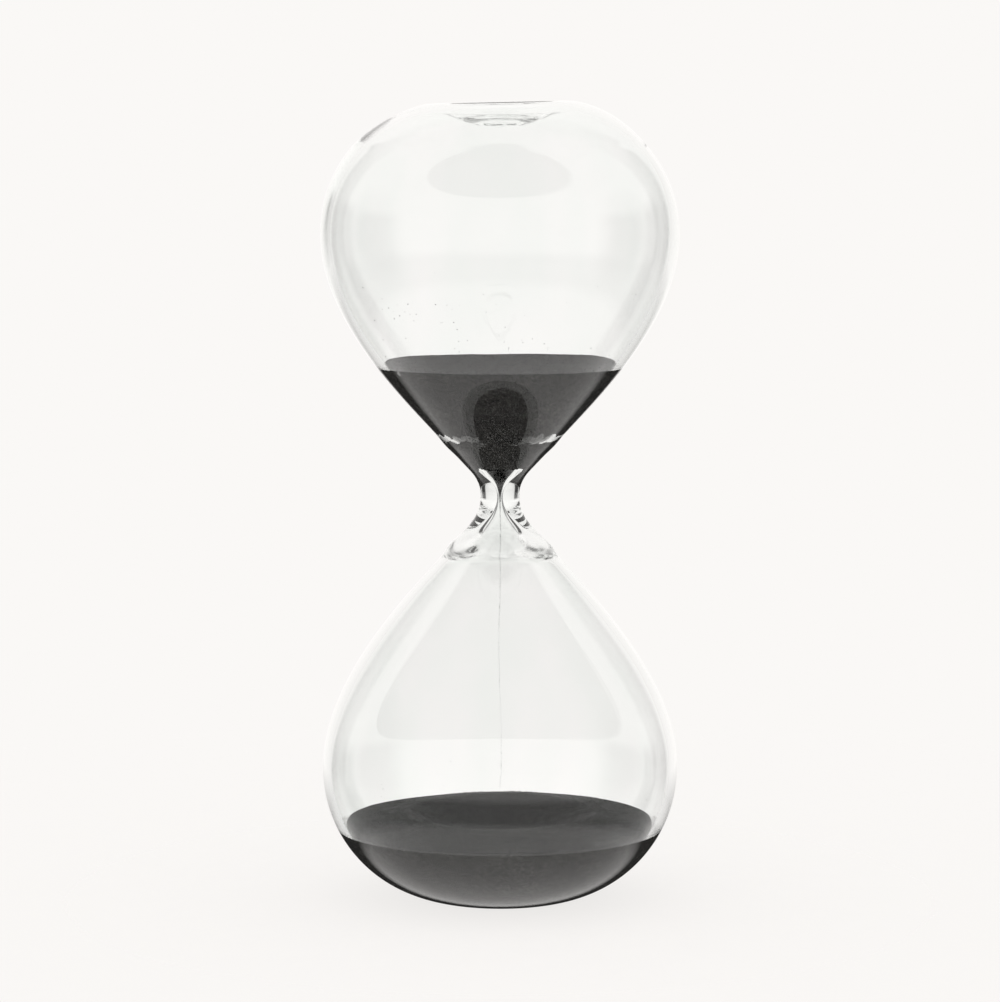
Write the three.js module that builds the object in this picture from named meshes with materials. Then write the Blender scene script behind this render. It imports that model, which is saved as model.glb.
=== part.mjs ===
// Hourglass: a blown glass body standing on either end, with fine black sand running through its waist.
// Millimetres, +Z up. The origin is on the axis, in the plane that the glass stands on.
//
// Every piece is turned about the same axis. Each half is drawn as points (radius, reach), where reach is
// the distance from the narrowest plane of the waist, and is then laid upwards or downwards.

import * as THREE from "three";

// Overall size.
const HEIGHT = 225;
const BULB_RADIUS = 50.4;
const WALL = 2;
const WAIST_HEIGHT = 113.7; // a hand-blown neck, a millimetre above mid height

// The rounded end of a bulb: a shoulder arc, the flat ring it stands on, and a shallow dish inside the ring.
const SHOULDER_RADIUS = 37.5;
const FOOT_OUTER_RADIUS = 20.5;
const FOOT_INNER_RADIUS = 17.5;
const DISH_DEPTH = 3.2;

// The filling hole in the middle of the dish, and the glass button fused over it.
const HOLE_RADIUS = 6;
const SEAT_RADIUS = 8;
const SEAL_RADIUS = 7.5;
const SEAL_RIM_HEIGHT = 0.8;
const SEAL_DOME_HEIGHT = 1;

// The waist: a thick tube fused between the two thin bulbs. Both its faces leave the narrowest plane as an
// arc. Outside, the arc ends in a cone that runs on to the seam with the bulb. Inside, it ends in a narrower
// funnel, and a ledge leads from the funnel's rim to the inner face of the bulb at the seam.
const SEAM_REACH = 17;
const CONE_ANGLE = THREE.MathUtils.degToRad(42);
const WAIST_RADIUS = 5.4;
const WAIST_ARC_RADIUS = 11;
const FUNNEL_REACH = 11;
const FUNNEL_ANGLE = THREE.MathUtils.degToRad(32);
const BORE_RADIUS = 0.5;
const BORE_ARC_RADIUS = 13;
const LEDGE_RADIUS = 13.8;

// The taper from the seam to the widest circle: how far each end of the curve keeps its direction.
const SEAM_PULL = 14.9;
const EQUATOR_PULL = 24.4;

// The sand, kept just clear of the glass.
const SAND_GAP = 0.3;
const STREAM_RADIUS = 0.25;
const STREAM_TOP_REACH = 2;
const UPPER_SAND_REACH = 38.2;
const UPPER_SAND_DIP = 1.2;
const LOWER_SAND_EDGE_HEIGHT = 21;
const RIDGE_RADIUS = 26.5;
const RIDGE_HEIGHT = 23.9;
const CRATER_DEPTH = 8;
const CRATER_FLOOR_RADIUS = 1;

// How finely the round forms are divided.
const TURN_STEPS = 36;
const STREAM_TURN_STEPS = 12;
const TAPER_STEPS = 8;
const SHOULDER_STEPS = 6;
const DISH_STEPS = 3;
const ARC_STEPS = 4;
const CRATER_STEPS = 5;

const GLASS = { color: 0xe9eeec, roughness: 0.04, metalness: 0 };
const SAND = { color: 0x46474a, roughness: 0.85, metalness: 0 };

const point = (radius, reach) => new THREE.Vector2(radius, reach);

// Each half reaches from the waist to the plane of its foot ring.
const UPPER_HALF = { direction: 1, footReach: HEIGHT - WAIST_HEIGHT };
const LOWER_HALF = { direction: -1, footReach: WAIST_HEIGHT };

const layOut = (half, points) =>
  points.map((p) => point(p.x, WAIST_HEIGHT + half.direction * p.y));

// Turns a closed outline about Z. The outline runs anticlockwise, so that every face points out.
function turned(name, outline, finish, steps = TURN_STEPS) {
  const anticlockwise = THREE.ShapeUtils.area(outline) > 0;
  const loop = anticlockwise ? [...outline] : [...outline].reverse();
  loop.push(loop[0].clone());
  const geometry = new THREE.LatheGeometry(loop, steps);
  geometry.rotateX(Math.PI / 2);
  const mesh = new THREE.Mesh(geometry, new THREE.MeshStandardMaterial(finish));
  mesh.name = name;
  return mesh;
}

// ---- Curves of the glass ----

// One face of the waist from the narrowest plane: an arc that turns by an angle, then a cone up to a reach.
function waistFace(narrow, arcRadius, angle, endReach) {
  const points = [];
  for (let i = 0; i <= ARC_STEPS; i += 1) {
    const turn = (angle * i) / ARC_STEPS;
    points.push(point(narrow + arcRadius * (1 - Math.cos(turn)), arcRadius * Math.sin(turn)));
  }
  const arcEnd = points[ARC_STEPS];
  points.push(point(arcEnd.x + (endReach - arcEnd.y) * Math.tan(angle), endReach));
  return points;
}

const outerWaist = () => waistFace(WAIST_RADIUS, WAIST_ARC_RADIUS, CONE_ANGLE, SEAM_REACH);

// The inner face as far as the seam. The inset moves it towards the axis.
const innerWaist = (inset) => [
  ...waistFace(BORE_RADIUS - inset, BORE_ARC_RADIUS + inset, FUNNEL_ANGLE, FUNNEL_REACH),
  point(LEDGE_RADIUS - inset / Math.cos(CONE_ANGLE), SEAM_REACH),
];

const SHOULDER_CENTRE_RADIUS = BULB_RADIUS - SHOULDER_RADIUS;

// The widest circle lies where the shoulder arc, carried on from it, meets the foot ring's outer edge.
function equatorReach(half) {
  const across = FOOT_OUTER_RADIUS - SHOULDER_CENTRE_RADIUS;
  return half.footReach - Math.sqrt(SHOULDER_RADIUS ** 2 - across ** 2);
}

// The taper from the seam to the widest circle. It leaves the seam in the direction of the outer cone.
function taper(half, seam, inset) {
  const equator = point(BULB_RADIUS - inset, equatorReach(half));
  const leaving = point(Math.sin(CONE_ANGLE), Math.cos(CONE_ANGLE)).multiplyScalar(SEAM_PULL);
  const curve = new THREE.CubicBezierCurve(
    seam,
    seam.clone().add(leaving),
    point(equator.x, equator.y - EQUATOR_PULL),
    equator,
  );
  return curve.getPoints(TAPER_STEPS);
}

// The shoulder arc from the widest circle to the level of the foot ring, both moved in by the inset.
function shoulder(half, inset) {
  const radius = SHOULDER_RADIUS - inset;
  const centreReach = equatorReach(half);
  const sweep = Math.asin((half.footReach - inset - centreReach) / radius);
  const points = [];
  for (let i = 1; i <= SHOULDER_STEPS; i += 1) {
    const turn = (sweep * i) / SHOULDER_STEPS;
    const across = SHOULDER_CENTRE_RADIUS + radius * Math.cos(turn);
    points.push(point(across, centreReach + radius * Math.sin(turn)));
  }
  return points;
}

// The dish inside the foot ring, sinking smoothly from the ring to the seat around the filling hole.
function dish(half, inset) {
  const points = [];
  for (let i = 0; i <= DISH_STEPS; i += 1) {
    const across = i / DISH_STEPS;
    const radius = THREE.MathUtils.lerp(FOOT_INNER_RADIUS, SEAT_RADIUS, across);
    const sunk = (DISH_DEPTH * (1 - Math.cos(Math.PI * across))) / 2;
    points.push(point(radius, half.footReach - inset - sunk));
  }
  return points;
}

const last = (points) => points[points.length - 1];

// ---- Glass pieces ----

function bulb(name, half) {
  const outside = [
    ...taper(half, last(outerWaist()), 0),
    ...shoulder(half, 0),
    ...dish(half, 0),
    point(HOLE_RADIUS, half.footReach - DISH_DEPTH),
  ];
  const inside = [
    ...taper(half, last(innerWaist(0)), WALL),
    ...shoulder(half, WALL),
    ...dish(half, WALL),
    point(HOLE_RADIUS, half.footReach - DISH_DEPTH - WALL),
  ];
  return turned(name, layOut(half, [...outside, ...inside.reverse()]), GLASS);
}

function throat() {
  const mirrored = (points) => points.slice(1).reverse().map((p) => point(p.x, -p.y));
  const outside = [...mirrored(outerWaist()), ...outerWaist()];
  const inside = [...mirrored(innerWaist(0)), ...innerWaist(0)];
  return turned("throat", layOut(UPPER_HALF, [...outside, ...inside.reverse()]), GLASS);
}

// A domed button whose rim lies on the seat, with a plug that fills the hole down to the inner face.
function endSeal(name, half) {
  const seatReach = half.footReach - DISH_DEPTH;
  const rimReach = seatReach + SEAL_RIM_HEIGHT;
  const plugRadius = HOLE_RADIUS - SAND_GAP;
  const outline = [
    point(0, seatReach - WALL),
    point(plugRadius, seatReach - WALL),
    point(plugRadius, seatReach),
    point(SEAL_RADIUS, seatReach),
  ];
  for (let i = 0; i <= DISH_STEPS; i += 1) {
    const turn = (Math.PI * i) / (2 * DISH_STEPS);
    outline.push(point(SEAL_RADIUS * Math.cos(turn), rimReach + SEAL_DOME_HEIGHT * Math.sin(turn)));
  }
  last(outline).x = 0;
  return turned(name, layOut(half, outline), GLASS);
}

// ---- Sand ----

// Where an outline first rises past a level: the index of the point above it, and the point on it.
function crossing(points, level) {
  const index = points.findIndex((p) => p.y > level);
  const before = points[index - 1];
  const share = (level - before.y) / (points[index].y - before.y);
  return { index, onLevel: before.clone().lerp(points[index], share) };
}

function upTo(points, level) {
  const { index, onLevel } = crossing(points, level);
  return [...points.slice(0, index), onLevel];
}

function from(points, level) {
  const { index, onLevel } = crossing(points, level);
  return [onLevel, ...points.slice(index)];
}

function upperSand() {
  const funnel = from(innerWaist(SAND_GAP), STREAM_TOP_REACH);
  const wallSide = taper(UPPER_HALF, last(funnel), WALL + SAND_GAP);
  const outline = [
    point(0, STREAM_TOP_REACH),
    ...funnel,
    ...upTo(wallSide, UPPER_SAND_REACH).slice(1),
    point(0, UPPER_SAND_REACH - UPPER_SAND_DIP),
  ];
  return turned("upper_sand", layOut(UPPER_HALF, outline), SAND);
}

// The falling thread, from the foot of the upper sand to the crater floor.
function sandStream() {
  const top = WAIST_HEIGHT + STREAM_TOP_REACH;
  const bottom = RIDGE_HEIGHT - CRATER_DEPTH;
  const outline = [point(0, bottom), point(STREAM_RADIUS, bottom), point(STREAM_RADIUS, top), point(0, top)];
  return turned("sand_stream", outline, SAND, STREAM_TURN_STEPS);
}

// A low mound: an even slope from the wall to a round ridge, and a crater where the thread lands.
function lowerSand() {
  const inset = WALL + SAND_GAP;
  const bowl = layOut(LOWER_HALF, [...shoulder(LOWER_HALF, inset), ...dish(LOWER_HALF, inset)]).reverse();
  const outline = [point(0, bowl[0].y), ...upTo(bowl, LOWER_SAND_EDGE_HEIGHT)];
  for (let i = 0; i <= CRATER_STEPS; i += 1) {
    const across = i / CRATER_STEPS;
    const radius = THREE.MathUtils.lerp(RIDGE_RADIUS, CRATER_FLOOR_RADIUS, across);
    const sunk = CRATER_DEPTH * Math.sin((Math.PI * across) / 2);
    outline.push(point(radius, RIDGE_HEIGHT - sunk));
  }
  outline.push(point(0, RIDGE_HEIGHT - CRATER_DEPTH));
  return turned("lower_sand", outline, SAND);
}

const group = new THREE.Group();
group.add(
  bulb("upper_bulb", UPPER_HALF),
  bulb("lower_bulb", LOWER_HALF),
  throat(),
  endSeal("upper_end_seal", UPPER_HALF),
  endSeal("lower_end_seal", LOWER_HALF),
  upperSand(),
  sandStream(),
  lowerSand(),
);

export default group;
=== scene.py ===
# %% [markdown]
# # A sandglass blown in one piece
# The real object is a clear borosilicate body, drawn in to a fine bore at its waist, with fine black sand
# sealed inside. There is no frame: it stands on a flat ring at either end. Everything here is built in
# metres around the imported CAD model, which is loaded first and is never moved.

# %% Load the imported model
import math
import random

import bpy
from mathutils import Matrix, Vector, noise


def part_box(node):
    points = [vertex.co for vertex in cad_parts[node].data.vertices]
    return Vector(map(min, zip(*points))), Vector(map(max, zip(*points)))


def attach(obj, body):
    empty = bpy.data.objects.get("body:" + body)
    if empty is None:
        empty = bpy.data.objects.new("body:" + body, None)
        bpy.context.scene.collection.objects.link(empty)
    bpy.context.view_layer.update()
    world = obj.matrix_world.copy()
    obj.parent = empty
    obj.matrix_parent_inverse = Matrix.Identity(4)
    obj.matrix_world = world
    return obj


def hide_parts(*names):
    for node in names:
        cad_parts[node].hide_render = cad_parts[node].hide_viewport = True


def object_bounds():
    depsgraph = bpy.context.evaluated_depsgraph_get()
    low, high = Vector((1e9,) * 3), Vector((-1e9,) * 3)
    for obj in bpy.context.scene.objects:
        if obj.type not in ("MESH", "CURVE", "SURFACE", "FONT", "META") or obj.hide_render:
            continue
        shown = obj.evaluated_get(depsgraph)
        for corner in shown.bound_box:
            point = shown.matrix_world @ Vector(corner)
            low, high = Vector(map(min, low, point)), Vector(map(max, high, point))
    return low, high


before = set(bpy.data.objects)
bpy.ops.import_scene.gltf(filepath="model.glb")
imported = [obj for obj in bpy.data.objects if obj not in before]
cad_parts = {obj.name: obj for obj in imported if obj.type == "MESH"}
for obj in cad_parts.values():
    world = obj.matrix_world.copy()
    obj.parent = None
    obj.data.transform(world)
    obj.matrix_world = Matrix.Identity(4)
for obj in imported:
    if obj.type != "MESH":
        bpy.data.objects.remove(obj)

MM = 0.001
cad_low, cad_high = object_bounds()
print("CAD box, mm:", [round(side / MM, 1) for side in cad_high - cad_low])

# %% [markdown]
# ## The sizes of the glass
# The overall sizes come from the CAD pieces. The rest are the same few driving dimensions that the CAD
# uses, so that the smooth glass lies on its facets. Outlines are drawn as (radius, reach) in millimetres,
# where reach is the distance from the narrowest plane of the waist.

# %% Sizes of the glass
throat_low, throat_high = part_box("throat")
waist_height = (throat_low.z + throat_high.z) / 2 / MM
seam_reach = (throat_high.z - throat_low.z) / 2 / MM
height = cad_high.z / MM
bulb_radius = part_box("upper_bulb")[1].x / MM
wall = 2.0
foot_reach = {1: height - waist_height, -1: waist_height}

shoulder_radius = 37.5
foot_outer_radius = 20.5
foot_inner_radius = 17.5
dish_depth = 3.2
seat_radius = 8.0
cone_angle = math.radians(42)
seam_pull = 14.9                        # how far the taper keeps its direction at the seam
equator_pull = 24.4                     # and at the widest circle
print(f"waist at {waist_height:.1f} mm, bulbs {2 * bulb_radius:.1f} mm across, seams {seam_reach:.1f} mm off")

# %% [markdown]
# ## Drawing curves
# A glassblower's outline is arcs, short straight runs and one long easy curve, so three small helpers draw
# it: points along an arc, points along a Bezier curve between two pulls, and points along a line.

# %% Curve helpers
def arc(centre, radius, start, stop, steps):
    """Points on a circle about centre; start and stop are angles in radians."""
    turns = [start + (stop - start) * i / steps for i in range(steps + 1)]
    return [(centre[0] + radius * math.cos(t), centre[1] + radius * math.sin(t)) for t in turns]


def bezier(a, b, c, d, steps):
    """Points on a cubic curve that leaves a towards b and arrives at d from c."""
    points = []
    for i in range(steps + 1):
        t = i / steps
        s = 1 - t
        weights = (s * s * s, 3 * s * s * t, 3 * s * t * t, t * t * t)
        points.append(tuple(sum(w * p[k] for w, p in zip(weights, (a, b, c, d))) for k in (0, 1)))
    return points


def line(a, b, steps):
    """Evenly spaced points from a to b."""
    return [tuple(p + (q - p) * i / steps for p, q in zip(a, b)) for i in range(steps + 1)]

# %% [markdown]
# ## The waist
# The waist is a thick tube with a bore of about a millimetre, fused between the two thin bulbs. Each of
# its faces leaves the narrowest plane as an arc and runs on as a cone. Outside, the cone runs straight
# into the bulb. Inside, the tube keeps a narrow funnel up to a ledge, where it meets the bulb's thin wall.
# The fused joint also swells a little outside, so a bell-shaped bump is added to the outer face.

# %% The faces of the waist
waist_radius = 5.4
waist_arc_radius = 11.0
bore_radius = 0.5
bore_arc_radius = 13.0
funnel_angle = math.radians(32)
ledge_reach = 11.0
ledge_end = (13.8, seam_reach)
swelling = {1: (15.2, 1.8, 0.35), -1: (13.0, 1.8, 0.9)}  # reach, half width and height in each half
neck_lift = 0.6                                          # the narrowest part sits a little high


def waist_face(narrow, arc_radius, angle, end_reach):
    """One face from the narrowest plane: an arc, then a cone at an angle up to a reach."""
    points = [(2 * (narrow + arc_radius) - x, y) for x, y in
              arc((narrow + arc_radius, 0), arc_radius, 0, angle, 12)]
    start = points[-1]
    end = (start[0] + (end_reach - start[1]) * math.tan(angle), end_reach)
    return points + line(start, end, 8)[1:]


def lift(points):
    """Raises the narrowest part of an outline, which leaves the bulbs alone."""
    return [(r, z + neck_lift * math.exp(-((z - waist_height) / 9) ** 2)) for r, z in points]


def swell(point, side):
    """Moves a point of the outer face out over the swelling."""
    reach, width, rise = swelling[side]
    return (point[0] + rise * math.exp(-((point[1] - reach) / width) ** 2), point[1])

# %% [markdown]
# ## The bulbs
# From the seam the wall swings out in one long curve to the widest circle, over a round shoulder, and
# onto the flat ring that the glass stands on. Inside the ring the end is sucked in to a shallow dish,
# where the filling hole was closed: that leaves a small round button with a raised rim and a nipple in its
# middle, and a shallow drip inside. The inner face is the same outline moved in by the wall.

# %% The outline of one half
def half_outline(side, inset, face):
    """(radius, reach) from the waist face to the end's dish; side is 1 for the upper half."""
    seam = face[-1]
    across = foot_outer_radius - (bulb_radius - shoulder_radius)
    equator = foot_reach[side] - math.sqrt(shoulder_radius ** 2 - across ** 2)
    widest = (bulb_radius - inset, equator)
    leaving = (seam[0] + seam_pull * math.sin(cone_angle), seam[1] + seam_pull * math.cos(cone_angle))
    taper = bezier(seam, leaving, (widest[0], equator - equator_pull), widest, 50)
    end = foot_reach[side] - inset
    sweep = math.asin((end - equator) / (shoulder_radius - inset))
    shoulder = arc((bulb_radius - shoulder_radius, equator), shoulder_radius - inset, 0, sweep, 40)
    dish = []
    for i in range(13):
        share = i / 12
        radius = foot_inner_radius + (seat_radius - foot_inner_radius) * share
        dish.append((radius, end - dish_depth * (1 - math.cos(math.pi * share)) / 2))
    return face + taper[1:] + shoulder[1:] + dish


outer_half = {}
inner_half = {}
for side in (1, -1):
    outer = half_outline(side, 0, waist_face(waist_radius, waist_arc_radius, cone_angle, seam_reach))
    seat = foot_reach[side] - dish_depth
    button = [(7.9, seat), (7.7, seat + 0.8), (7.0, seat + 1.3), (6.1, seat + 1.1), (5.6, seat + 0.3),
              (3.0, seat + 0.1), (1.8, seat + 0.3), (0.9, seat + 1.2), (0, seat + 1.4)]
    outer_half[side] = [swell(p, side) for p in outer] + button
    funnel = waist_face(bore_radius, bore_arc_radius, funnel_angle, ledge_reach)
    inner = half_outline(side, wall, funnel + line(funnel[-1], ledge_end, 6)[1:])
    sunk = seat - wall
    drip = [(7.2, sunk - 0.1), (6.4, sunk - 0.75), (5.0, sunk - 0.85), (2.2, sunk - 0.35), (0, sunk - 0.5)]
    inner_half[side] = inner + drip
print("outline points in one half:", len(outer_half[1]), "outside and", len(inner_half[1]), "inside")

# %% [markdown]
# ## Fire polishing
# Blown glass has no sharp edge. The outline is cut into even steps and each point is then drawn towards
# its neighbours a few times, which rounds the foot ring and the button and leaves the long curves alone.

# %% Even out and round an outline
def even_steps(points, spacing):
    """The same path with points every spacing millimetres, ends kept."""
    steps = [math.dist(a, b) for a, b in zip(points, points[1:])]
    count = max(2, round(sum(steps) / spacing))
    wanted = [sum(steps) * i / count for i in range(count + 1)]
    result, done, k = [], 0.0, 0
    for distance in wanted:
        while k < len(steps) - 1 and done + steps[k] < distance:
            done += steps[k]
            k += 1
        share = min(1.0, (distance - done) / steps[k])
        result.append(tuple(p + (q - p) * share for p, q in zip(points[k], points[k + 1])))
    return result


def polish(points, passes):
    """Rounds off creases by averaging neighbours; the two ends stay."""
    for _ in range(passes):
        inner = [tuple((a + 2 * b + c) / 4 for a, b, c in zip(*trio))
                 for trio in zip(points, points[1:], points[2:])]
        points = [points[0]] + inner + [points[-1]]
    return points


def whole_outline(halves, spacing, passes):
    """Joins both halves into one outline of (radius, height), bottom to top."""
    lower = [(r, waist_height - reach) for r, reach in reversed(halves[-1])]
    upper = [(r, waist_height + reach) for r, reach in halves[1]]
    path = polish(even_steps(lift(lower + upper[1:]), spacing), passes)
    return [(0.0, path[0][1])] + path[1:-1] + [(0.0, path[-1][1])]


glass_outside = whole_outline(outer_half, 0.7, 3)
glass_inside = whole_outline(inner_half, 0.7, 3)

# %% [markdown]
# ## Turning an outline into a mesh
# Every piece of this object is a turned form. A function spins an outline about the axis, and takes
# another that says how far each point strays, because a hand-blown wall is never quite even.

# %% Turn an outline about the axis
def turned(outline, segments, stray=None):
    """Vertices in metres and faces that point out, for an outline that starts and ends on the axis."""
    rings = outline[1:-1]
    vertices = [(0, 0, outline[0][1])]
    for radius, z in rings:
        for k in range(segments):
            angle = 2 * math.pi * k / segments
            vertices.append((radius * math.cos(angle), radius * math.sin(angle), z))
    vertices.append((0, 0, outline[-1][1]))
    if stray:
        vertices = [stray(Vector(v)) for v in vertices]
    ring = lambda i, k: 1 + i * segments + k % segments
    top = len(vertices) - 1
    faces = [(0, ring(0, k + 1), ring(0, k)) for k in range(segments)]
    for i in range(len(rings) - 1):
        faces += [(ring(i, k), ring(i, k + 1), ring(i + 1, k + 1), ring(i + 1, k)) for k in range(segments)]
    faces += [(top, ring(len(rings) - 1, k), ring(len(rings) - 1, k + 1)) for k in range(segments)]
    return [tuple(c * MM for c in v) for v in vertices], faces


def make_object(name, vertices, faces, material=None):
    """A smooth-shaded mesh object in the scene."""
    mesh = bpy.data.meshes.new(name)
    mesh.from_pydata(vertices, [], faces)
    mesh.shade_smooth()
    mesh.update()
    piece = bpy.data.objects.new(name, mesh)
    bpy.context.scene.collection.objects.link(piece)
    if material:
        mesh.materials.append(material)
    print(f"{name}: {len(vertices)} vertices, {len(faces)} faces")
    return piece

# %% [markdown]
# ## Helpers for materials
# Colours are given as sRGB hex, as a paint chart would, and turned to the linear values that the renderer
# works in. One function adds a node, sets it up and links it. A whole node can be given where a socket is
# wanted, and then its first output is used.

# %% Material helpers
def linear(hex_colour):
    """A hex colour such as "#FAF8F6" as linear RGBA."""
    parts = [int(hex_colour[i:i + 2], 16) / 255 for i in (1, 3, 5)]
    return tuple(c / 12.92 if c <= 0.04045 else ((c + 0.055) / 1.055) ** 2.4 for c in parts) + (1.0,)


def add(tree, kind, inputs=None, stops=(), **settings):
    """Adds a node; inputs maps a socket's name or number to a value, a socket or a node that feeds it.
    Stops are a colour ramp's (place, linear colour) pairs."""
    node = tree.nodes.new(kind)
    for name, value in settings.items():
        setattr(node, name, value)
    for name, value in (inputs or {}).items():
        if isinstance(value, bpy.types.Node):
            value = value.outputs[0]
        if isinstance(value, bpy.types.NodeSocket):
            tree.links.new(value, node.inputs[name])
        else:
            node.inputs[name].default_value = value
    if stops:
        elements = node.color_ramp.elements
        while len(elements) < len(stops):
            elements.new(1.0)
        for element, (place, colour) in zip(elements, stops):
            element.position = place
            element.color = colour
    return node


def empty_material(name):
    """A material, its node tree, emptied, and its output node."""
    material = bpy.data.materials.new(name)
    material.use_nodes = True
    material.node_tree.nodes.clear()
    return material, material.node_tree, add(material.node_tree, "ShaderNodeOutputMaterial")


print("the backdrop's grey, linear:", [round(c, 3) for c in linear("#FAF8F6")[:3]])

# %% [markdown]
# ## Blown borosilicate glass
# Clear borosilicate has an index of 1.47 and a very faint grey-green body colour that only shows where
# light runs a long way inside the wall. Blowing leaves faint cords, drawn out along the axis, that make
# reflections swim. So: full transmission, almost no roughness, a whisper of long bumps, and absorption
# in the volume. On the ledge inside the waist the two glasses were worked together twice, and the surface
# there is a little dull, so the roughness rises in a narrow zone found from the radius and the reach.

# %% The glass material
ledge_dullness = 0.08
glass_material, tree, output = empty_material("blown_borosilicate_glass")
place = add(tree, "ShaderNodeTexCoord").outputs["Object"]
along = add(tree, "ShaderNodeMapping", {"Vector": place, "Scale": (1, 1, 0.2)})
cords = add(tree, "ShaderNodeTexNoise", {"Vector": along, "Scale": 60.0, "Detail": 2.0})
wave = add(tree, "ShaderNodeBump", {"Height": cords, "Strength": 0.05, "Distance": 0.0004})
haze = add(tree, "ShaderNodeTexNoise", {"Vector": place, "Scale": 35.0, "Detail": 3.0})
bloom = add(tree, "ShaderNodeMapRange", {"Value": haze, "From Min": 0.45, "From Max": 0.8,
                                         "To Min": 0.0, "To Max": 0.02})

axes = add(tree, "ShaderNodeSeparateXYZ", {"Vector": place})
squares = [add(tree, "ShaderNodeMath", {0: axes.outputs[axis], 1: 2.0}, operation="POWER") for axis in "XY"]
radius_squared = add(tree, "ShaderNodeMath", {0: squares[0], 1: squares[1]}, operation="ADD")
radius = add(tree, "ShaderNodeMath", {0: radius_squared}, operation="SQRT")
from_waist = add(tree, "ShaderNodeMath", {0: axes.outputs["Z"], 1: waist_height * MM}, operation="SUBTRACT")
reach = add(tree, "ShaderNodeMath", {0: from_waist}, operation="ABSOLUTE")
cone = add(tree, "ShaderNodeMath", {0: reach, 1: 0.9}, operation="MULTIPLY")
off_cone = add(tree, "ShaderNodeMath", {0: radius, 1: cone}, operation="SUBTRACT")
on_ledge = add(tree, "ShaderNodeMapRange", {"Value": off_cone, "From Min": -0.0004, "From Max": -0.0012})
for start, stop in ((0.0105, 0.012), (0.019, 0.017)):
    zone = add(tree, "ShaderNodeMapRange", {"Value": reach, "From Min": start, "From Max": stop})
    on_ledge = add(tree, "ShaderNodeMath", {0: on_ledge, 1: zone}, operation="MULTIPLY")
dulled = add(tree, "ShaderNodeMath", {0: on_ledge, 1: ledge_dullness}, operation="MULTIPLY")
roughness = add(tree, "ShaderNodeMath", {0: bloom, 1: dulled}, operation="ADD")

shade = add(tree, "ShaderNodeValToRGB", {"Fac": cords}, [(0.3, linear("#FBFDFC")), (0.7, linear("#FFFFFF"))])
shader = add(tree, "ShaderNodeBsdfPrincipled", {
    "Base Color": shade, "Roughness": roughness, "IOR": 1.47, "Transmission Weight": 1.0, "Normal": wave})
depth = add(tree, "ShaderNodeVolumeAbsorption", {"Color": linear("#EAEEEC"), "Density": 6.0})
tree.links.new(shader.outputs["BSDF"], output.inputs["Surface"])
tree.links.new(depth.outputs["Volume"], output.inputs["Volume"])
print("glass: IOR 1.47,", len(tree.nodes), "nodes")

# %% [markdown]
# ## The glass body
# The upper bulb, the waist, the lower bulb and the two end buttons are fused on the real object, and a
# seam face inside clear glass would show as a mirror. So one mesh stands for the five CAD pieces: the
# outside, and the sealed hollow as a second skin whose faces look into it. The wall strays slowly from a
# true turned form by up to 0.3 mm, it ripples where the waist was fused on, and the top end leans a little.

# %% Build the glass body
lean_of_top = 0.022      # rise per millimetre across
button_dimples = 0.5     # millimetres


def hand_blown(amount, joint_amount, seed):
    """A slow stray from the turned form, quicker ripples at the joints, a leaning top and dimpled buttons."""
    def stray(v):
        flat = Vector((v.x, v.y, 0))
        slow = noise.noise(Vector((v.x / 38, v.y / 38, v.z / 75 + seed))) * min(1.0, flat.length / 20)
        reach = abs(v.z - waist_height)
        at_joint = math.exp(-((reach - 13.5) / 3.5) ** 2) * min(1.0, flat.length / 5)
        ripple = noise.noise(Vector((v.x / 5, v.y / 5, v.z / 4 + seed)))
        lean = lean_of_top * v.x * min(1.0, max(0.0, (v.z - height + 12) / 10))
        at_button = math.exp(-(flat.length / 8.5) ** 4) * (abs(v.z - height / 2) > height / 2 - 8)
        dimple = button_dimples * at_button * noise.noise(Vector((v.x / 4, v.y / 4, seed)))
        outward = flat.normalized() * (amount * slow + joint_amount * at_joint * ripple)
        return v + outward + Vector((0, 0, lean + dimple))
    return stray


segments = 192
inner_stray = hand_blown(0.3, 0.22, 11.0)
outside, outside_faces = turned(glass_outside, segments, hand_blown(0.3, 0.08, 3.0))
inside, inside_faces = turned(glass_inside, segments, inner_stray)
shifted = [tuple(len(outside) + i for i in reversed(face)) for face in inside_faces]
glass = make_object("blown_glass_body", outside + inside, outside_faces + shifted, glass_material)
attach(glass, "root")
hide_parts("upper_bulb", "lower_bulb", "throat", "upper_end_seal", "lower_end_seal")
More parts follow.
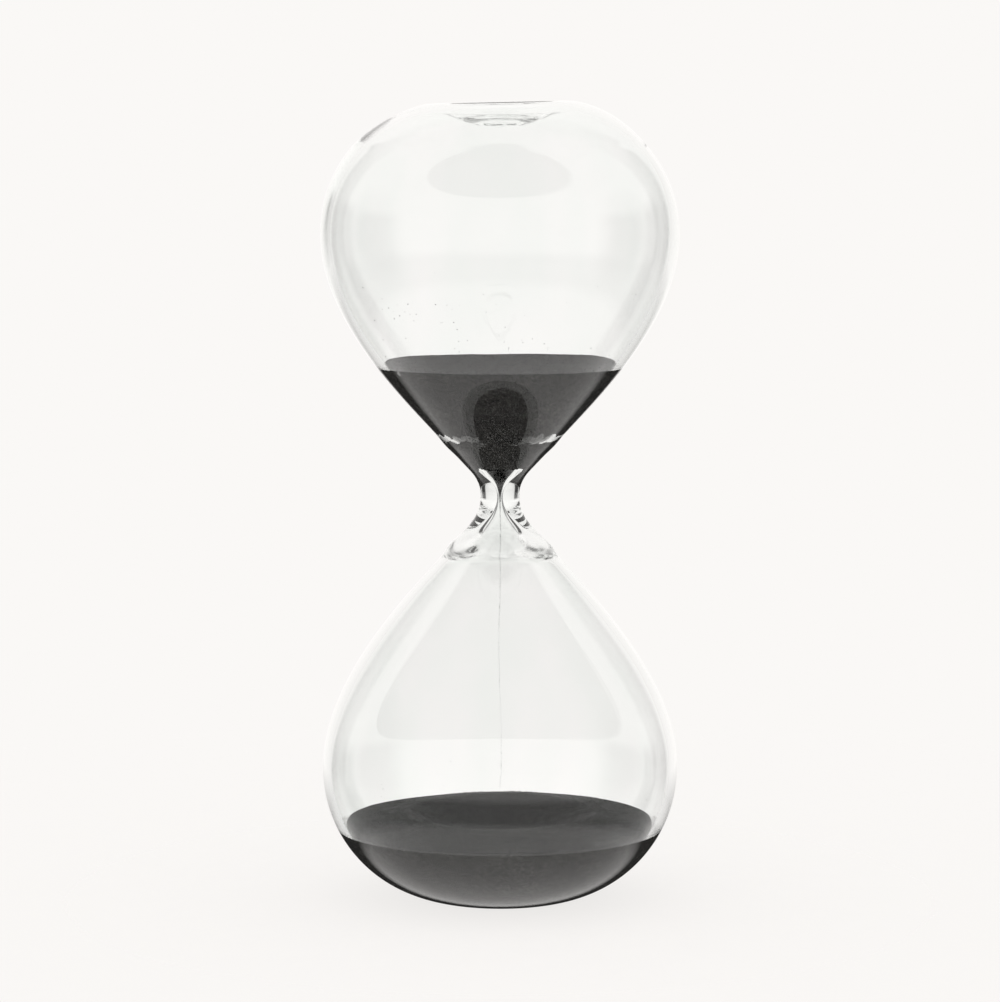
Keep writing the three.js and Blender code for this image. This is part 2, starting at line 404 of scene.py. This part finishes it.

# %% [markdown]
# ## Black mineral sand
# The sand is a heavy black mineral sand, sieved fine so that it runs evenly. Dry and dull, it is almost
# black with a few grey and glinting grains. Real grains are about 0.15 mm, too fine to show, so the
# pattern's grains are drawn at 0.5 mm, with soft patches where the packing differs. Where sand is pressed
# on glass it gets the same finish with paler colours: painted light, standing in for the light that reaches
# it through the glass.

# %% The sand materials
def sand_finish(name, darkest, middle, palest):
    """Cell-sized grains with their own shade, over slow patches, with a grainy bump."""
    material, tree, output = empty_material(name)
    place = add(tree, "ShaderNodeTexCoord").outputs["Object"]
    grain = add(tree, "ShaderNodeTexVoronoi", {"Vector": place, "Scale": 1 / 0.0005})
    shade = add(tree, "ShaderNodeSeparateColor", {"Color": grain.outputs["Color"]})
    patch = add(tree, "ShaderNodeTexNoise", {"Vector": place, "Scale": 1 / 0.012, "Detail": 3.0})
    mixed = add(tree, "ShaderNodeMath", {0: shade.outputs["Red"], 1: patch}, operation="MULTIPLY")
    colour = add(tree, "ShaderNodeValToRGB", {"Fac": mixed},
                 [(0.0, linear(darkest)), (0.45, linear(middle)), (0.8, linear(palest))])
    gleam = add(tree, "ShaderNodeMapRange", {"Value": shade.outputs["Green"], "To Min": 0.95, "To Max": 0.5})
    bump = add(tree, "ShaderNodeBump", {"Height": grain.outputs["Distance"], "Strength": 0.5,
                                        "Distance": 0.00015}, invert=True)
    shader = add(tree, "ShaderNodeBsdfPrincipled", {
        "Base Color": colour, "Roughness": gleam, "IOR": 1.5, "Specular IOR Level": 0.2, "Normal": bump})
    tree.links.new(shader.outputs["BSDF"], output.inputs["Surface"])
    print(f"{name}: {len(tree.nodes)} nodes")
    return material


sand_material = sand_finish("sieved_black_mineral_sand", "#0F0E0F", "#1C1B1B", "#3B3A38")
# A paler copy of the sand for where it lies on the glass: painted light, for the light that reaches it
# through the glass.
sand_painted_paler_material = sand_finish("black_sand_painted_paler_on_glass", "#2B2A29", "#444341", "#615F5C")

# %% [markdown]
# ## Loose grains
# Sand has no skin: grains stand out of its surface, cling to the glass and fall one by one. One function
# lays any number of small angular grains as a single mesh, each a squashed and turned twenty-sided grain.

# %% A cloud of grains
golden = (1 + math.sqrt(5)) / 2
GRAIN_CORNERS = [Vector(c).normalized() for c in (
    (-1, golden, 0), (1, golden, 0), (-1, -golden, 0), (1, -golden, 0), (0, -1, golden), (0, 1, golden),
    (0, -1, -golden), (0, 1, -golden), (golden, 0, -1), (golden, 0, 1), (-golden, 0, -1), (-golden, 0, 1))]
GRAIN_FACES = ((0, 11, 5), (0, 5, 1), (0, 1, 7), (0, 7, 10), (0, 10, 11), (1, 5, 9), (5, 11, 4), (11, 10, 2),
               (10, 7, 6), (7, 1, 8), (3, 9, 4), (3, 4, 2), (3, 2, 6), (3, 6, 8), (3, 8, 9), (4, 9, 5),
               (2, 4, 11), (6, 2, 10), (8, 6, 7), (9, 8, 1))


def grains(name, centres, smallest, largest, seed):
    """Grains at the given centres, in millimetres, with radii between smallest and largest."""
    chance = random.Random(seed)
    vertices, faces = [], []
    for centre in centres:
        size = chance.uniform(smallest, largest)
        stretch = Vector((chance.uniform(0.7, 1.2), chance.uniform(0.7, 1.2), chance.uniform(0.6, 1.0)))
        spin = Matrix.Rotation(chance.uniform(0, 6.28), 3, Vector((chance.random(), chance.random(), 1)))
        base = len(vertices)
        for corner in GRAIN_CORNERS:
            shaped = Vector(c * s for c, s in zip(corner, stretch)) * size
            vertices.append(tuple((Vector(centre) + spin @ shaped) * MM))
        faces += [tuple(base + i for i in face) for face in GRAIN_FACES]
    piece = make_object(name, vertices, faces, sand_material)
    piece.data.shade_flat()
    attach(piece, "root")
    return piece

# %% [markdown]
# ## Shapes that sand takes
# A poured surface is never flat: it has slow dunes of a few tenths of a millimetre with finer roughness on
# them. Two more helpers read an outline, so that sand and grains can be laid on a surface or a wall.

# %% Helpers for poured sand
def poured(amount):
    """Uneven ground for a poured surface, in millimetres up, by place."""
    def ground(x, y):
        slow = noise.noise(Vector((x / 11, y / 11, 5.0)))
        fine = noise.noise(Vector((x / 2.2, y / 2.2, 9.0)))
        return amount * (slow + 0.3 * fine)
    return ground


def height_on(surface, radius):
    """The height of a surface outline, rim to middle, at a radius."""
    for (r1, z1), (r2, z2) in zip(surface, surface[1:]):
        if r2 <= radius <= r1:
            return z1 + (z2 - z1) * (r1 - radius) / (r1 - r2)
    return surface[-1][1]


def inner_radius(z):
    """The radius of the hollow at a height, between the two dishes."""
    for (r1, z1), (r2, z2) in zip(glass_inside, glass_inside[1:]):
        if z1 <= z <= z2 and max(r1, r2) > 0.4:
            return r1 + (r2 - r1) * (z - z1) / (z2 - z1)
    return 0.0

# %% [markdown]
# ## The upper sand
# The sand still to run fills the funnel from the bore to a nearly level surface, a little sunk in the
# middle over the bore. Its weight presses it on the glass, and pressed sand shows right out to the edge of
# the glass, with no bright gap. To do that, the side is laid a few hundredths of a millimetre into the
# glass. It is slack only in the funnel below the ledge and along a ragged line above the seam, where the
# gap shows as bright flashes. The side gets the paler copy of the sand, which paints in the light that
# reaches it through the glass.

# %% Build the upper sand
contact = 0.03                # how far pressed sand lies into the glass
gap = 0.2                     # how far slack sand stands off from where it would be pressed
slack_levels = ((-99.0, 10.2), (17.9, 19.4))    # above the waist
upper_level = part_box("upper_sand")[1].z / MM
upper_dip = 1.2
bottom = waist_height - 1.0
side_points = []
for i in range(121):
    z = bottom + (upper_level - bottom) * i / 120
    slope = (inner_radius(z + 0.2) - inner_radius(z - 0.2)) / 0.4
    necked = 1 - 0.6 * math.exp(-((z - bottom) / 2.5) ** 2)
    side_points.append(((inner_radius(z) + contact * math.hypot(1, slope)) * necked, z))
rim = side_points[-1][0]
upper_surface = [(rim * (1 - i / 40), upper_level - upper_dip * (1 - (1 - i / 40) ** 2)) for i in range(41)]
upper_ground = poured(0.35)


def ragged_level(v):
    """The height over the waist, shifted from place to place so that edges laid by it are ragged."""
    return v.z - waist_height + 1.3 * noise.noise(Vector((v.x / 2.5, v.y / 2.5, 2.0)))


def upper_stray(v):
    on_top = v.z > upper_level - upper_dip - 0.2
    inside = 1 - (math.hypot(v.x, v.y) / rim) ** 8
    level = ragged_level(v)
    slack = gap if any(start < level < stop for start, stop in slack_levels) else 0.0
    inward = Vector((v.x, v.y, 0)).normalized() * -min(slack, 0.4 * math.hypot(v.x, v.y))
    lift_up = upper_ground(v.x, v.y) * max(0.25, inside) * on_top
    return inner_stray(v) + inward * (not on_top) + Vector((0, 0, lift_up))


outline = [(0, bottom)] + side_points + upper_surface[1:]
upper_sand = make_object("upper_sand_body", *turned(outline, 192, upper_stray), sand_material)
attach(upper_sand, "root")
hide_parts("upper_sand")

# Side faces more than 10 mm above the waist get the paler copy: painted light on the sand pressed on the
# glass.
upper_sand.data.materials.append(sand_painted_paler_material)
pressed_faces = [face for face in upper_sand.data.polygons
                 if face.center.z / MM > waist_height + 10 and face.normal.z < 0.2]
for face in pressed_faces:
    face.material_index = 1
print("faces pressed on the glass:", len(pressed_faces))

# %% [markdown]
# ## The lower sand
# The sand that has run lies as a low mound: an even slope up from the glass, a round ridge, and a crater
# where the thread lands. Its underside follows the dished end and is pressed on it, so it is laid into the
# glass by the same few hundredths of a millimetre and gets the paler copy of the sand, which paints in the
# light that reaches it through the glass.

# %% Build the lower sand
edge_height = 21.0
ridge_radius = 26.5
ridge_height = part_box("lower_sand")[1].z / MM
crater_depth = 8.0
floor_points = [(r, z) for r, z in glass_inside if z < edge_height and r > 0]
bed = []
for (r0, z0), (r1, z1) in zip(floor_points, floor_points[1:]):
    length = math.hypot(r1 - r0, z1 - z0)
    bed.append((r0 + contact * (z1 - z0) / length, z0 - contact * (r1 - r0) / length))
edge = (bed[-1][0], edge_height)
slope_points = line(edge, (ridge_radius + 1, ridge_height - 0.15), 30)
crater = []
for i in range(31):
    share = i / 30
    crater.append((ridge_radius * (1 - share), ridge_height - crater_depth * math.sin(math.pi / 2 * share)))
lower_surface = slope_points + crater
lower_ground = poured(0.35)


def lower_stray(v):
    radius = math.hypot(v.x, v.y)
    on_top = abs(v.z - height_on(lower_surface, radius)) < 0.05
    settle = 1 - (radius / edge[0]) ** 10
    return inner_stray(v) + Vector((0, 0, lower_ground(v.x, v.y) * max(0.2, settle) * on_top))


outline = [(0, bed[0][1])] + bed[1:] + lower_surface
lower_sand = make_object("lower_sand_body", *turned(outline, 180, lower_stray), sand_material)
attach(lower_sand, "root")
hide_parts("lower_sand")

# Side and underside faces more than 20 mm out get the paler copy: painted light on the sand pressed on the
# glass.
lower_sand.data.materials.append(sand_painted_paler_material)
pressed_faces = [face for face in lower_sand.data.polygons
                 if face.normal.z < 0.2 and math.hypot(*face.center[:2]) > 0.020]
for face in pressed_faces:
    face.material_index = 1
print("faces pressed on the glass:", len(pressed_faces))

# %% [markdown]
# ## Grains on the surfaces
# A few thousand loose grains are strewn over both surfaces, half sunk, so that their edges are grainy
# rather than cut. They are picked at random places, spread evenly by area.

# %% Strew grains on the two surfaces
def strewn(surface, ground, count, seed):
    """Places on a poured surface, spread evenly by area."""
    chance = random.Random(seed)
    limit = surface[0][0] - 0.3
    places = []
    for _ in range(count):
        radius = limit * math.sqrt(chance.random())
        angle = chance.uniform(0, 2 * math.pi)
        x, y = radius * math.cos(angle), radius * math.sin(angle)
        places.append((x, y, height_on(surface, radius) + ground(x, y) + 0.02))
    return places


grains("upper_surface_grains", strewn(upper_surface, upper_ground, 2600, 4), 0.06, 0.13, 5)
grains("lower_surface_grains", strewn(lower_surface, lower_ground, 4200, 6), 0.06, 0.13, 7)

# %% [markdown]
# ## Grains on the glass
# About a hundred grains cling to the inside of the glass: a slanting drift where the sand last slid along
# the wall of the upper bulb, and odd ones just above each surface. Each is a real grain standing a little
# off the wall, because a painted dot would lie flat on the wrong side of the glass.

# %% Grains that cling to the glass
off_the_wall = 0.22
chance = random.Random(21)
clinging = []
for _ in range(46):
    along_drift = chance.random()
    angle = math.radians(205 + 95 * along_drift + chance.gauss(0, 7))
    z = 173 - 17 * along_drift + chance.gauss(0, 3.0)
    clinging.append((angle, max(z, upper_level + 1.5)))
for _ in range(34):
    clinging.append((chance.uniform(0, 2 * math.pi), upper_level + 1.5 + 22 * chance.random() ** 1.6))
for _ in range(24):
    clinging.append((chance.uniform(0, 2 * math.pi), edge_height + 1.5 + 9 * chance.random() ** 2))
places = []
for angle, z in clinging:
    radius = inner_radius(z) - off_the_wall
    places.append((radius * math.cos(angle), radius * math.sin(angle), z))
grains("clinging_grains", places, 0.08, 0.16, 22)

# %% [markdown]
# ## The falling thread
# Sand leaves the bore as a dense thread and stretches out as it speeds up: the number of grains at each
# level falls off as one over the square root of the drop. The thread sways by a fraction of a millimetre.

# %% Build the falling thread
chance = random.Random(8)
thread_top = waist_height - 0.6
thread_drop = thread_top - (ridge_height - crater_depth)
falling = []
for _ in range(800):
    share = chance.random() ** 2
    z = thread_top - thread_drop * share
    sway = 0.45 * math.sin(share * 11) * share ** 0.4
    spread = 0.07 + 0.12 * share
    falling.append((sway + chance.gauss(0, spread), chance.gauss(0, spread), z))
thread = grains("falling_thread", falling, 0.045, 0.08, 9)
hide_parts("sand_stream")

# %% [markdown]
# ## The studio
# Clear glass only shows what stands around it, and in an all-white room it would vanish. So the room's light
# is drawn by direction. Through the glass one sees white walls on four sides, which fall away to dark corners
# between them: the walls read as clear background in the thin bulbs, and the corners draw the lines in the
# thick waist and at the edges. The two side walls are dimmer, so that the thick parts of the waist, which
# bend light round from the side, turn grey.
#
# What the glass mirrors is drawn apart: a bright room with a dark band where the edge of a table would be.
# The low bulb mirrors that band in front of its sand. The camera itself sees an even pale backdrop.

# %% The walls, by direction
BACKDROP = linear("#FAF8F6")
world = bpy.data.worlds.new("pale_studio")
bpy.context.scene.world = world
world.use_nodes = True
tree = world.node_tree
tree.nodes.clear()
output = add(tree, "ShaderNodeOutputWorld")
direction = add(tree, "ShaderNodeTexCoord").outputs["Generated"]
axes = add(tree, "ShaderNodeSeparateXYZ", {"Vector": direction})


def grey(value):
    """A grey level of the backdrop's tint."""
    return tuple(value * c for c in BACKDROP[:3]) + (1.0,)


across, along = [add(tree, "ShaderNodeMath", {0: axes.outputs[axis], 1: 2.0}, operation="POWER")
                 for axis in "XY"]
difference = add(tree, "ShaderNodeMath", {0: along, 1: across}, operation="SUBTRACT")
size = add(tree, "ShaderNodeMath", {0: difference}, operation="ABSOLUTE")
total = add(tree, "ShaderNodeMath", {0: along, 1: across}, operation="ADD")
# 0 in a corner of the room, 1 square on to a wall.
facing_wall = add(tree, "ShaderNodeMath", {0: size, 1: total}, operation="DIVIDE")
walls = add(tree, "ShaderNodeValToRGB", {"Fac": facing_wall}, [
    (0.0, grey(0.05)), (0.30, grey(0.08)), (0.36, grey(0.45)), (0.42, grey(0.85)), (0.7, grey(0.95)),
    (0.93, grey(1.0))])
print("nodes for the walls:", len(tree.nodes))

# %% [markdown]
# ## Floor, ceiling and what each ray sees
# Each part of the room is a coat of grey laid over the ones before it, and a coat comes in softly between two
# levels, so that no hard line crosses the glass. Light Path tells the rays apart: straight from the camera,
# through the glass, or mirrored.

# %% Coats of light
def coat(under, value, start, stop, brightness):
    """Lays a grey over a colour: not at all where the value is at start, fully where it is at stop."""
    share = add(tree, "ShaderNodeMapRange", {"Value": value, "From Min": start, "From Max": stop})
    mix = add(tree, "ShaderNodeMix", {0: share, 6: under, 7: grey(brightness)}, data_type="RGBA")
    return mix.outputs[2]


sideways = add(tree, "ShaderNodeMath", {0: axes.outputs["X"]}, operation="ABSOLUTE")
seen_through = coat(walls, sideways, 0.84, 0.95, 0.2)                       # dim side walls
seen_through = coat(seen_through, axes.outputs["Y"], -0.1, -0.4, 1.15)      # the bright front
seen_through = coat(seen_through, axes.outputs["Z"], -0.16, -0.26, 1.08)    # the far floor
seen_through = coat(seen_through, axes.outputs["Z"], -0.45, -0.6, 0.95)     # the near floor
seen_through = coat(seen_through, axes.outputs["Z"], 0.45, 0.8, 1.15)       # the ceiling

mirrored = coat(grey(1.1), axes.outputs["Z"], -0.16, -0.27, 0.02)           # down past the table's edge
mirrored = coat(mirrored, axes.outputs["Z"], -0.50, -0.60, 1.1)             # the table top
mirrored = coat(mirrored, axes.outputs["Z"], -0.82, -0.95, 1.3)             # the bright paper underneath

rays = add(tree, "ShaderNodeLightPath")
indoors = add(tree, "ShaderNodeMix", {0: rays.outputs["Is Transmission Ray"], 6: mirrored, 7: seen_through},
              data_type="RGBA")
room = add(tree, "ShaderNodeMix", {0: rays.outputs["Is Camera Ray"], 6: indoors.outputs[2], 7: BACKDROP},
           data_type="RGBA")
background = add(tree, "ShaderNodeBackground", {"Color": room.outputs[2], "Strength": 1.0})
tree.links.new(background.outputs["Background"], output.inputs["Surface"])
print("nodes for the room:", len(tree.nodes))

# %% [markdown]
# ## The table
# The glass stands on a pale sweep. Its colour runs into the backdrop, so it fades out around the glass and
# leaves no horizon; only the soft contact shadow is left.

# %% Lay the table
table_radius = 0.32
table_material, tree, output = empty_material("matt_white_sweep")
place = add(tree, "ShaderNodeTexCoord").outputs["Object"]
distance = add(tree, "ShaderNodeVectorMath", {0: place}, operation="LENGTH").outputs["Value"]
paper = add(tree, "ShaderNodeTexNoise", {"Vector": place, "Scale": 90.0, "Detail": 3.0})
tint = add(tree, "ShaderNodeValToRGB", {"Fac": paper}, [(0.3, linear("#F4F2F0")), (0.7, linear("#F8F6F4"))])
matt = add(tree, "ShaderNodeBsdfDiffuse", {"Color": tint})
glow = add(tree, "ShaderNodeEmission", {"Color": BACKDROP, "Strength": 1.0})
lit = add(tree, "ShaderNodeMixShader", {0: 0.15, 1: glow, 2: matt})
clear = add(tree, "ShaderNodeBsdfTransparent")
share = add(tree, "ShaderNodeMapRange", {
    "Value": distance, "From Min": 0.05, "From Max": table_radius * 0.95})
faded = add(tree, "ShaderNodeMixShader", {0: share, 1: lit, 2: clear})
tree.links.new(faded.outputs["Shader"], output.inputs["Surface"])
turns = [2 * math.pi * k / 64 for k in range(64)]
rim_points = [(table_radius * math.cos(turn), table_radius * math.sin(turn), 0) for turn in turns]
table = make_object("pale_sweep", rim_points, [tuple(range(64))], table_material)
table.location.z = -0.0003
table.visible_transmission = False
table.visible_glossy = False

# %% [markdown]
# ## The camera
# A long lens from a little above, more than a metre away, so that the two bulbs keep their true
# proportions. It looks at the middle of the glass. The light paths are long, because light that enters the
# edge of a thin wall is mirrored dozens of times inside it before it leaves: cut short, it would leave a
# black rim round each bulb.

# %% Set up the camera
camera_distance = 1.13
camera_rise = math.radians(6.4)
middle = Vector((0, 0, cad_high.z / 2))
camera_data = bpy.data.cameras.new("long_lens")
camera_data.lens = 144
camera_data.sensor_width = 36
camera_data.sensor_fit = "HORIZONTAL"
camera_data.clip_start = 0.01
camera = bpy.data.objects.new("camera", camera_data)
bpy.context.scene.collection.objects.link(camera)
camera.location = middle + camera_distance * Vector((0, -math.cos(camera_rise), math.sin(camera_rise)))
aim = middle + Vector((0, 0, 0.0004))
camera.rotation_euler = (aim - camera.location).to_track_quat("-Z", "Y").to_euler()
bpy.context.scene.camera = camera
bpy.context.scene.view_settings.view_transform = "Standard"

light_paths = bpy.context.scene.cycles
light_paths.max_bounces = 64
light_paths.transmission_bounces = 64
light_paths.glossy_bounces = 64
print("camera distance, m:", camera_distance, "lens, mm:", camera_data.lens)
